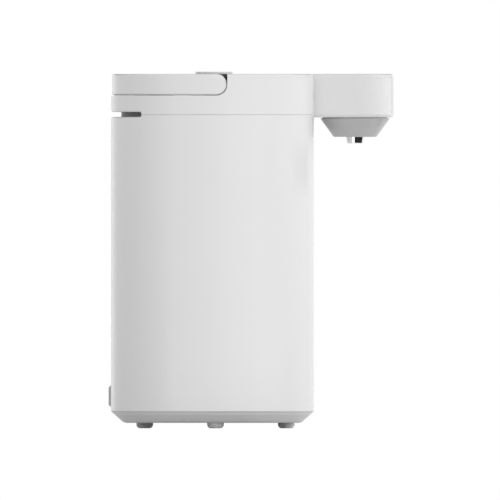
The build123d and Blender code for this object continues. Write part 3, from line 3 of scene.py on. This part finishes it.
import bmesh
import bpy
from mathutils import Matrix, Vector


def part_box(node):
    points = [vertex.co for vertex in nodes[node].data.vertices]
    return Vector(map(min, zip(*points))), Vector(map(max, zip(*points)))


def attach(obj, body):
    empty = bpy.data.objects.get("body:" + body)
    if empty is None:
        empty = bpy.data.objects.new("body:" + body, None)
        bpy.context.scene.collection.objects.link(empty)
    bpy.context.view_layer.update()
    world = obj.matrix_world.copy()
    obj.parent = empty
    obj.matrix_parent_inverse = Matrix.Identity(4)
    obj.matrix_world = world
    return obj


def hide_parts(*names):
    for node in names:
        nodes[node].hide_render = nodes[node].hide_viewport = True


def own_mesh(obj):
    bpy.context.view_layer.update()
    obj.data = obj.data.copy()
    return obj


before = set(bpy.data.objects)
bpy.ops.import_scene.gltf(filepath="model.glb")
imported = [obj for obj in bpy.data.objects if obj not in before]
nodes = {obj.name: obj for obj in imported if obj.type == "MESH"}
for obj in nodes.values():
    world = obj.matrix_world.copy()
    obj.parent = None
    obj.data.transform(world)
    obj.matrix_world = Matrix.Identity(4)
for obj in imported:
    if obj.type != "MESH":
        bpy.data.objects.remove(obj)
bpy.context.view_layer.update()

# Lengths are in metres, angles in degrees, colours in 8-bit display levels, and noise scales per metre

WHITE = (1.0, 1.0, 1.0, 1.0)


# Node helpers

def set_inputs(node, values):
    """Sets input values of a shader node by name."""
    for name, value in values.items():
        node.inputs[name].default_value = value


def add_node(tree, kind, inputs=None, **settings):
    """A shader node with its properties and its input values set."""
    made = tree.nodes.new(kind)
    for name, value in settings.items():
        setattr(made, name, value)
    set_inputs(made, inputs or {})
    return made


def link(tree, source, target):
    """Joins an output socket to an input socket."""
    tree.links.new(source, target)


def maths(tree, operation, *values):
    """The result of a maths node over sockets and plain numbers."""
    made = add_node(tree, "ShaderNodeMath", operation=operation)
    for place, value in enumerate(values):
        if isinstance(value, bpy.types.NodeSocket):
            link(tree, value, made.inputs[place])
        else:
            made.inputs[place].default_value = value
    return made.outputs[0]


def new_material(name):
    """An empty node material, its tree and its surface shader."""
    material = bpy.data.materials.new(name)
    material.use_nodes = True
    return material, material.node_tree, material.node_tree.nodes["Principled BSDF"]


def start_finish(name):
    """A new material, its tree, its surface shader and the object's own coordinates."""
    material, tree, shader = new_material(name)
    return material, tree, shader, add_node(tree, "ShaderNodeTexCoord").outputs["Object"]


def noise(tree, coords, scale, detail=2.0, stretch=None):
    """Noise over the object's own coordinates, stretched where told."""
    if stretch:
        mapping = add_node(tree, "ShaderNodeMapping", {"Scale": stretch})
        link(tree, coords, mapping.inputs["Vector"])
        coords = mapping.outputs["Vector"]
    made = add_node(tree, "ShaderNodeTexNoise", {"Scale": scale, "Detail": detail})
    link(tree, coords, made.inputs["Vector"])
    return made.outputs["Fac"]


def linear(level):
    """Linear value of an 8-bit display level."""
    part = level / 255
    return part / 12.92 if part <= 0.04045 else ((part + 0.055) / 1.055) ** 2.4


def shade(colour, factor):
    """A linear colour from display levels, made lighter or darker by a factor."""
    return (*(linear(level) * factor for level in colour), 1.0)


def vary_colour(tree, shader, value, colour, dark, light):
    """Varies the base colour by a noise, between two factors."""
    made = add_node(tree, "ShaderNodeMix", data_type="RGBA")
    ends = [socket for socket in made.inputs if socket.type == "RGBA"]
    ends[0].default_value = shade(colour, dark)
    ends[1].default_value = shade(colour, light)
    link(tree, value, made.inputs["Factor"])
    mixed = next(socket for socket in made.outputs if socket.type == "RGBA")
    link(tree, mixed, shader.inputs["Base Color"])


# The part of a noise's range that it mostly keeps to
NOISE_LOW = 0.3
NOISE_HIGH = 0.7


def vary_gloss(tree, shader, value, low, high):
    """Varies the roughness by a noise, between two values."""
    made = add_node(
        tree,
        "ShaderNodeMapRange",
        {"From Min": NOISE_LOW, "From Max": NOISE_HIGH, "To Min": low, "To Max": high},
    )
    link(tree, value, made.inputs["Value"])
    link(tree, made.outputs["Result"], shader.inputs["Roughness"])


def bump(tree, shader, value, depth, strength):
    """Raises the surface by a noise."""
    made = add_node(tree, "ShaderNodeBump", {"Strength": strength, "Distance": depth})
    link(tree, value, made.inputs["Height"])
    link(tree, made.outputs["Normal"], shader.inputs["Normal"])


# Finishes

def moulded(name, colour, roughness, grain, depth, drift):
    """Moulded plastic: fine spark-eroded grain, and slow drift in colour and gloss."""
    material, tree, shader, coords = start_finish(name)
    vary_colour(tree, shader, noise(tree, coords, scale=11.0), colour, 1 - drift, 1 + drift)
    vary_gloss(tree, shader, noise(tree, coords, scale=60.0), roughness - 0.03, roughness + 0.03)
    bump(tree, shader, noise(tree, coords, grain, detail=4.0), depth, strength=0.3)
    return material


def rubbery(name, colour, roughness, clear):
    """Rubber or silicone: soft speckle, bloom, and light that enters the surface."""
    material, tree, shader, coords = start_finish(name)
    vary_colour(tree, shader, noise(tree, coords, scale=420.0, detail=5.0), colour, dark=0.92, light=1.06)
    vary_gloss(tree, shader, noise(tree, coords, scale=90.0), roughness - 0.05, roughness + 0.05)
    set_inputs(shader, {
        "Subsurface Weight": clear,
        "Subsurface Radius": (0.004, 0.004, 0.004),
        "Sheen Weight": 0.15,
    })
    bump(tree, shader, noise(tree, coords, scale=1600.0, detail=3.0), depth=0.00006, strength=0.35)
    return material


def metal(name, colour, roughness, stretch, grain, strength):
    """Metal with fine scratches, or with brush lines where they are stretched."""
    material, tree, shader, coords = start_finish(name)
    lines = noise(tree, coords, grain, detail=6.0, stretch=stretch)
    vary_colour(tree, shader, lines, colour, dark=0.9, light=1.08)
    vary_gloss(tree, shader, lines, roughness * 0.7, roughness * 1.3)
    set_inputs(shader, {"Metallic": 1.0})
    bump(tree, shader, lines, depth=0.00003, strength=strength)
    return material


def fibrous(name, colour):
    """Pressed felt: matted fibres that lie flat."""
    material, tree, shader, coords = start_finish(name)
    fibres = noise(tree, coords, scale=300.0, detail=8.0, stretch=(1.0, 1.0, 5.0))
    vary_colour(tree, shader, fibres, colour, dark=0.75, light=1.1)
    set_inputs(shader, {"Roughness": 0.95, "Sheen Weight": 0.4})
    bump(tree, shader, fibres, depth=0.0006, strength=0.6)
    return material


def glassy(name, colour):
    """Gloss black window with a clear coat and the faintest dust."""
    material, tree, shader, coords = start_finish(name)
    dust = noise(tree, coords, scale=700.0, detail=6.0)
    vary_colour(tree, shader, dust, colour, dark=0.9, light=1.3)
    vary_gloss(tree, shader, dust, low=0.08, high=0.14)
    set_inputs(shader, {"Coat Weight": 1.0, "Coat Roughness": 0.03})
    return material


def circuit(name, colour, track):
    """Solder-masked board with tracks showing through the mask."""
    material, tree, shader, coords = start_finish(name)
    pattern = add_node(tree, "ShaderNodeTexBrick", {
        "Scale": 160.0,
        "Mortar Size": 0.06,
        "Color1": shade(colour, 0.9),
        "Color2": shade(colour, 1.1),
        "Mortar": shade(track, 1.0),
    })
    link(tree, coords, pattern.inputs["Vector"])
    link(tree, pattern.outputs["Color"], shader.inputs["Base Color"])
    vary_gloss(tree, shader, noise(tree, coords, scale=300.0), low=0.3, high=0.45)
    bump(tree, shader, pattern.outputs["Fac"], depth=0.00005, strength=0.4)
    return material


def printed(name, colour):
    """Light ink, a little uneven as printed ink is."""
    material, tree, shader, coords = start_finish(name)
    vary_colour(tree, shader, noise(tree, coords, scale=2600.0, detail=3.0), colour, dark=0.95, light=1.05)
    set_inputs(shader, {"Roughness": 0.35})
    return material


# Slot: colour, roughness, scale and depth of the grain, drift
MOULDED = {
    "white_shell": ((226, 226, 226), 0.24, 1500.0, 0.00003, 0.012),
    "grey_shell": ((182, 182, 183), 0.22, 1100.0, 0.00005, 0.02),
    # base_shell is the same grey plastic as grey_shell, set lighter as painted light: it stands in for light
    # from below that reaches the base too weakly here
    "base_shell": ((214, 214, 215), 0.32, 1100.0, 0.00005, 0.02),
    "slot_trim": ((112, 112, 114), 0.45, 1100.0, 0.00005, 0.03),
    # dark_trim is painted shade on the hinge bridge: its wall in the gap behind the button is dark grey to
    # stand in for the shadow in that gap
    "dark_trim": ((84, 84, 86), 0.5, 1100.0, 0.00005, 0.03),
    "inner_plastic": ((214, 214, 211), 0.5, 1300.0, 0.00004, 0.015),
    "component_black": ((30, 30, 32), 0.5, 900.0, 0.00006, 0.05),
}
# Slot: colour, roughness, share of the light that enters
RUBBERY = {
    # foot_rubber is the feet's grey rubber set near-white, as painted light: it stands in for light the feet
    # lack in the shade under the base
    "foot_rubber": ((238, 238, 239), 0.45, 0.0),
    "silicone": ((214, 214, 211), 0.55, 0.25),
    "lead_sheath": ((42, 42, 44), 0.6, 0.0),
}
# Slot: colour, roughness, and the stretch, scale and strength of the lines
METAL = {
    "tank_steel": ((196, 196, 198), 0.3, (1.0, 1.0, 60.0), 26.0, 0.25),
    "screw_steel": ((176, 176, 179), 0.28, (1.0, 1.0, 1.0), 900.0, 0.2),
    "bright_metal": ((240, 240, 242), 0.05, (1.0, 1.0, 1.0), 1200.0, 0.02),
    "heater_metal": ((186, 186, 189), 0.4, (1.0, 1.0, 1.0), 500.0, 0.4),
    "pin_brass": ((200, 166, 96), 0.25, (1.0, 40.0, 40.0), 40.0, 0.2),
}
# Slot: colour, and for the board the colour of its tracks
FIBROUS = {"felt": ((205, 205, 199),)}
GLASSY = {"touch_black": ((16, 16, 18),)}
CIRCUIT = {"circuit_green": ((24, 74, 44), (60, 120, 70))}

finishes = {
    slot: finish(slot + "_finish", *values)
    for finish, table in (
        (moulded, MOULDED),
        (rubbery, RUBBERY),
        (metal, METAL),
        (fibrous, FIBROUS),
        (glassy, GLASSY),
        (circuit, CIRCUIT),
    )
    for slot, values in table.items()
}
ink = printed("panel_ink", (206, 209, 212))

for part in nodes.values():
    for holder in part.material_slots:
        holder.material = finishes[holder.material.name]


# Pieces made here

def make_piece(name, mesh_builder, finish, body="dispenser_body"):
    """A mesh piece filled by a function, with a finish, riding on a body."""
    mesh = bpy.data.meshes.new(name)
    work = bmesh.new()
    mesh_builder(work)
    bmesh.ops.recalc_face_normals(work, faces=work.faces)
    work.to_mesh(mesh)
    work.free()
    piece = bpy.data.objects.new(name, mesh)
    bpy.context.scene.collection.objects.link(piece)
    mesh.materials.append(finish)
    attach(piece, body)
    return piece


def lathe(profile, centre, steps=72):
    """Fills a mesh with a closed profile of (radius, z) turned about an upright axis."""
    def build(work):
        rings = []
        for step in range(steps):
            turn = 2 * math.pi * step / steps
            rings.append([
                work.verts.new((centre.x + r * math.cos(turn), centre.y + r * math.sin(turn), z))
                for r, z in profile
            ])
        for step in range(steps):
            this, after = rings[step], rings[(step + 1) % steps]
            for k in range(len(profile)):
                following = (k + 1) % len(profile)
                face = work.faces.new((this[k], after[k], after[following], this[following]))
                face.smooth = True
    return build


# Return dome under the button: a bellows with folds round its side
DOME_SKIN = 0.0011
DOME_TAPER = 0.002
DOME_FOLDS = 3
FOLD_DEPTH = 0.0006
DOME_STEPS = 24
dome_low, dome_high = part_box("return_dome")
dome_centre = (dome_low + dome_high) / 2
dome_radius = (dome_high.x - dome_low.x) / 2
dome_height = dome_high.z - dome_low.z
outer_side, inner_side = [], []
for step in range(DOME_STEPS + 1):
    rise = step / DOME_STEPS
    fold = FOLD_DEPTH * (math.cos(2 * math.pi * DOME_FOLDS * rise) - 1) / 2
    radius = dome_radius - DOME_TAPER * rise + fold
    height = dome_low.z + dome_height * rise
    outer_side.append((radius, height))
    inner_side.append((radius - DOME_SKIN, height))
dome = make_piece("button_bellows", lathe(outer_side + inner_side[::-1], dome_centre), finishes["silicone"])
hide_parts("return_dome")
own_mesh(dome)


# Panel marks: plain line symbols for water, heat, amount, lock, level and power

MARK_SINK = 0.00004
MARK_RISE = 0.00003
LINE_WIDTH = 0.0007
DISC_SIDES = 32
SAME_POINT = 1e-9
panel_low, panel_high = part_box("touch_window")
panel_y = (panel_low.y + panel_high.y) / 2


def arc(centre, radius, start, end, steps):
    """Points along an arc."""
    turns = [math.radians(start + (end - start) * k / steps) for k in range(steps + 1)]
    return [(centre[0] + radius * math.cos(turn), centre[1] + radius * math.sin(turn)) for turn in turns]


def circle(radius, sides, centre=(0, 0)):
    """Points round a circle."""
    return arc(centre, radius, 0, 360, sides)[:-1]


def scaled(points, size):
    """Points times a size."""
    return [(u * size, v * size) for u, v in points]


def band(points, width, closed):
    """Left and right edges of a line of even width."""
    count = len(points)
    left, right = [], []
    for k, point in enumerate(points):
        before = points[k - 1] if closed or k else point
        after = points[(k + 1) % count] if closed or k < count - 1 else point
        steps = []
        for a, b in ((before, point), (point, after)):
            length = math.hypot(b[0] - a[0], b[1] - a[1])
            if length > SAME_POINT:
                steps.append(((b[0] - a[0]) / length, (b[1] - a[1]) / length))
        along = (sum(s[0] for s in steps), sum(s[1] for s in steps))
        size = math.hypot(*along)
        across = (-along[1] / size, along[0] / size)
        reach = width / size * len(steps) / 2
        left.append((point[0] + across[0] * reach, point[1] + across[1] * reach))
        right.append((point[0] - across[0] * reach, point[1] - across[1] * reach))
    return left, right


def mark_mesh(place, lines, discs):
    """Fills a mesh with raised lines and discs; u is to the user's right and v away from them."""
    low, high = panel_high.z - MARK_SINK, panel_high.z + MARK_RISE

    def spot(point, z):
        return (place[0] - point[1], place[1] + point[0], z)

    def build(work):
        for points, closed in lines:
            left, right = band(points, LINE_WIDTH, closed)
            rows = [
                [work.verts.new(spot(p, z)) for p, z in ((a, low), (a, high), (b, high), (b, low))]
                for a, b in zip(left, right)
            ]
            following = rows[1:] + rows[:1] if closed else rows[1:]
            for here, there in zip(rows, following):
                for k in range(4):
                    work.faces.new((here[k], here[(k + 1) % 4], there[(k + 1) % 4], there[k]))
            if not closed:
                work.faces.new(rows[0])
                work.faces.new(rows[-1][::-1])
        for centre, radius in discs:
            outline = circle(radius, DISC_SIDES, centre)
            under = [work.verts.new(spot(p, low)) for p in outline]
            over = [work.verts.new(spot(p, high)) for p in outline]
            work.faces.new(under)
            work.faces.new(over)
            for k in range(DISC_SIDES):
                after = (k + 1) % DISC_SIDES
                work.faces.new((under[k], under[after], over[after], over[k]))
    return build


# Rows of marks, by their distance from the window's front edge
DROP_ROW = 0.023
KEY_ROW = 0.0535
LEVEL_ROW = 0.0685
POWER_ROW = 0.0805
KEY_STEP = 0.0125

DROP_SIZE = 0.0056
DROP_RING = 0.0125
KEY_SIZE = 0.0036
BULB_RADIUS = 0.0009
LEVEL_STEP = 0.0055
LEVEL_RADIUS = 0.0008
POWER_RADIUS = 0.0032
POWER_STROKE = (0.0008, 0.0042)

drop_ring = circle(DROP_RING, 96)
drop = scaled(arc((0, -0.22), 0.62, 205, -25, 28) + [(0, 1)], DROP_SIZE)
heat_stem = scaled(arc((0, -0.75), 0.5, 120, 420, 28) + arc((0, 0.85), 0.25, 0, 180, 12), KEY_SIZE)
heat_bulb = (0, -0.75 * KEY_SIZE)
cup_side = scaled([(-0.8, 0.8), (-0.55, -0.9), (0.45, -0.9), (0.7, 0.8)], KEY_SIZE)
cup_handle = scaled(arc((0.68, 0.05), 0.45, 70, -95, 14), KEY_SIZE)
lock_body = scaled([(-0.75, -0.9), (0.75, -0.9), (0.75, 0.15), (-0.75, 0.15)], KEY_SIZE)
lock_shackle = scaled([(-0.5, 0.25)] + arc((0, 0.55), 0.5, 180, 0, 16) + [(0.5, 0.25)], KEY_SIZE)
level_dots = [((k * LEVEL_STEP, 0), LEVEL_RADIUS) for k in range(-2, 3)]
power_ring = arc((0, 0), POWER_RADIUS, 125, 415, 36)
power_stroke = [(0, v) for v in POWER_STROKE]

# Mark: row, step to the side, lines with whether they are closed, discs with their radius
marks = {
    "panel_mark_water": (DROP_ROW, 0, [(drop_ring, True), (drop, True)], []),
    "panel_mark_heat": (KEY_ROW, -KEY_STEP, [(heat_stem, True)], [(heat_bulb, BULB_RADIUS)]),
    "panel_mark_amount": (KEY_ROW, 0, [(cup_side, True), (cup_handle, False)], []),
    "panel_mark_lock": (KEY_ROW, KEY_STEP, [(lock_body, True), (lock_shackle, False)], []),
    "panel_mark_levels": (LEVEL_ROW, 0, [], level_dots),
    "panel_mark_power": (POWER_ROW, 0, [(power_ring, False), (power_stroke, False)], []),
}
for mark_name, (row, step, lines, discs) in marks.items():
    place = (panel_high.x - row, panel_y + step)
    mark = make_piece(mark_name, mark_mesh(place, lines, discs), ink)


# Floor, light and camera

def white_ray(tree):
    """1 for rays that should meet a white background: camera, mirror and clear ones."""
    rays = add_node(tree, "ShaderNodeLightPath").outputs
    seen = maths(tree, "MAXIMUM", rays["Is Camera Ray"], rays["Is Glossy Ray"])
    return maths(tree, "MAXIMUM", seen, rays["Is Transmission Ray"])


FLOOR_RADIUS = 3.0
FLOOR_SIDES = 96
FLOOR_ALBEDO = 0.72
FLOOR_GLOW = 0.34
floor_mesh = bpy.data.meshes.new("floor")
floor_work = bmesh.new()
bmesh.ops.create_circle(floor_work, cap_ends=True, segments=FLOOR_SIDES, radius=FLOOR_RADIUS)
floor_work.to_mesh(floor_mesh)
floor_work.free()
floor = bpy.data.objects.new("floor", floor_mesh)
bpy.context.scene.collection.objects.link(floor)
floor_material = bpy.data.materials.new("floor_white")
floor_material.use_nodes = True
floor_tree = floor_material.node_tree
floor_tree.nodes.clear()
floor_colour = (FLOOR_ALBEDO, FLOOR_ALBEDO, FLOOR_ALBEDO, 1.0)
floor_paint = add_node(floor_tree, "ShaderNodeBsdfDiffuse", {"Color": floor_colour})
floor_glow = add_node(floor_tree, "ShaderNodeEmission")
floor_strength = maths(floor_tree, "MULTIPLY", white_ray(floor_tree), FLOOR_GLOW)
link(floor_tree, floor_strength, floor_glow.inputs["Strength"])
floor_sum = add_node(floor_tree, "ShaderNodeAddShader")
link(floor_tree, floor_paint.outputs[0], floor_sum.inputs[0])
link(floor_tree, floor_glow.outputs[0], floor_sum.inputs[1])
floor_end = add_node(floor_tree, "ShaderNodeOutputMaterial")
link(floor_tree, floor_sum.outputs[0], floor_end.inputs["Surface"])
floor_mesh.materials.append(floor_material)

# Soft room light: brighter at both ends of the dispenser, most of all at its front, and dim above
SKY_LEVEL = 0.985
SKY_ENDS = 0.31
SKY_FRONT = 0.3
SKY_TOP = -0.5
world = bpy.data.worlds.new("studio")
bpy.context.scene.world = world
world.use_nodes = True
sky = world.node_tree
sky.nodes.clear()
sky_split = add_node(sky, "ShaderNodeSeparateXYZ")
link(sky, add_node(sky, "ShaderNodeTexCoord").outputs["Generated"], sky_split.inputs[0])
sky_x, sky_z = sky_split.outputs["X"], sky_split.outputs["Z"]
sky_strength = maths(sky, "MULTIPLY_ADD", maths(sky, "ABSOLUTE", sky_x), SKY_ENDS, SKY_LEVEL)
sky_strength = maths(sky, "MULTIPLY_ADD", sky_x, SKY_FRONT, sky_strength)
sky_strength = maths(sky, "MULTIPLY_ADD", sky_z, SKY_TOP, sky_strength)
sky_light = add_node(sky, "ShaderNodeBackground", {"Color": WHITE})
link(sky, sky_strength, sky_light.inputs["Strength"])
sky_white = add_node(sky, "ShaderNodeBackground", {"Color": WHITE, "Strength": 1.0})
sky_mix = add_node(sky, "ShaderNodeMixShader")
link(sky, white_ray(sky), sky_mix.inputs[0])
link(sky, sky_light.outputs[0], sky_mix.inputs[1])
link(sky, sky_white.outputs[0], sky_mix.inputs[2])
sky_end = add_node(sky, "ShaderNodeOutputWorld")
link(sky, sky_mix.outputs[0], sky_end.inputs["Surface"])


# The lamps light the dispenser and not the floor, which so stays even and keeps the room light's shadow
unlit = bpy.data.collections.new("unlit_by_lamps")
unlit.objects.link(floor)
unlit.collection_objects[0].light_linking.link_state = "EXCLUDE"


def soft_box(name, place, aim, width, height, power, mirrored=True):
    """A soft lamp that faces along a direction, with or without its image in glossy surfaces."""
    lamp_data = bpy.data.lights.new(name, "AREA")
    lamp_data.shape = "RECTANGLE"
    lamp_data.size = width
    lamp_data.size_y = height
    lamp_data.energy = power
    lamp = bpy.data.objects.new(name, lamp_data)
    bpy.context.scene.collection.objects.link(lamp)
    lamp.location = place
    lamp.rotation_euler = Vector(aim).to_track_quat("-Z", "Y").to_euler()
    lamp.visible_camera = False
    lamp.visible_glossy = mirrored
    lamp.light_linking.receiver_collection = unlit


soft_box("side_strip", (0.01, -0.2, 0.25), aim=(0, 1, 0), width=0.08, height=1.0, power=0.125)
soft_box(
    "front_box", (0.74, 0.15, 0.25), aim=(-0.74, -0.15, 0), width=0.4, height=0.9, power=1.35, mirrored=False
)
soft_box("rear_box", (-0.6, 0.7, 0.3), aim=(0.6, -0.7, 0), width=0.4, height=1.2, power=0.6)
soft_box("low_strip", (0.2, -0.6, 0.04), aim=(-0.2, 0.6, 0), width=0.8, height=0.08, power=0.22)

CARD_SHADE = 0.02
card_material, _, card_shader = new_material("dark_card")
set_inputs(card_shader, {"Base Color": (CARD_SHADE, CARD_SHADE, CARD_SHADE, 1.0), "Roughness": 1.0})


def dark_card(name, panels):
    """A black studio card of four-cornered panels, seen only in glossy surfaces."""
    mesh = bpy.data.meshes.new(name)
    work = bmesh.new()
    for corners in panels:
        work.faces.new([work.verts.new(corner) for corner in corners])
    work.to_mesh(mesh)
    work.free()
    mesh.materials.append(card_material)
    card = bpy.data.objects.new(name, mesh)
    bpy.context.scene.collection.objects.link(card)
    card.visible_camera = False
    card.visible_diffuse = False
    card.visible_shadow = False
    card.visible_transmission = False


# Curved card round the front of the nozzle's tip, for the dark facet on its polish
CARD_RADIUS = 0.09
CARD_LOW = 0.24
CARD_HIGH = 0.283
CARD_START = -96
CARD_SWEEP = 116
CARD_STEPS = 24
tip_low, tip_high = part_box("nozzle_tip")
tip_middle = (tip_low + tip_high) / 2
curve = arc((tip_middle.x, tip_middle.y), CARD_RADIUS, CARD_START, CARD_START + CARD_SWEEP, CARD_STEPS)
dark_card("tip_card", [
    ((*here, CARD_LOW), (*there, CARD_LOW), (*there, CARD_HIGH), (*here, CARD_HIGH))
    for here, there in zip(curve, curve[1:])
])

# Flat cards behind the dispenser, just outside the view, for a line along its top and the arm's end;
# each has its left, right, low and high edge
FLAG_Y = 0.25
TOP_FLAG = (-0.9, 0.9, 0.43, 1.3)
SIDE_FLAG = (0.3, 0.4, 0.3, 0.43)
dark_card("edge_cards", [
    ((left, FLAG_Y, low), (right, FLAG_Y, low), (right, FLAG_Y, high), (left, FLAG_Y, high))
    for left, right, low, high in (TOP_FLAG, SIDE_FLAG)
])

# Parallel view from the side, one pixel per millimetre
VIEW_WIDTH = 0.5
VIEW_CENTRE = Vector((-0.0013, 0.0, 0.1783))
CAMERA_DISTANCE = 2.0
camera_data = bpy.data.cameras.new("camera")
camera_data.type = "ORTHO"
camera_data.ortho_scale = VIEW_WIDTH
camera = bpy.data.objects.new("camera", camera_data)
bpy.context.scene.collection.objects.link(camera)
camera.location = VIEW_CENTRE + Vector((0.0, -CAMERA_DISTANCE, 0.0))
camera.rotation_euler = (math.pi / 2, 0.0, 0.0)
bpy.context.scene.camera = camera

bpy.context.scene.view_settings.view_transform = "Standard"
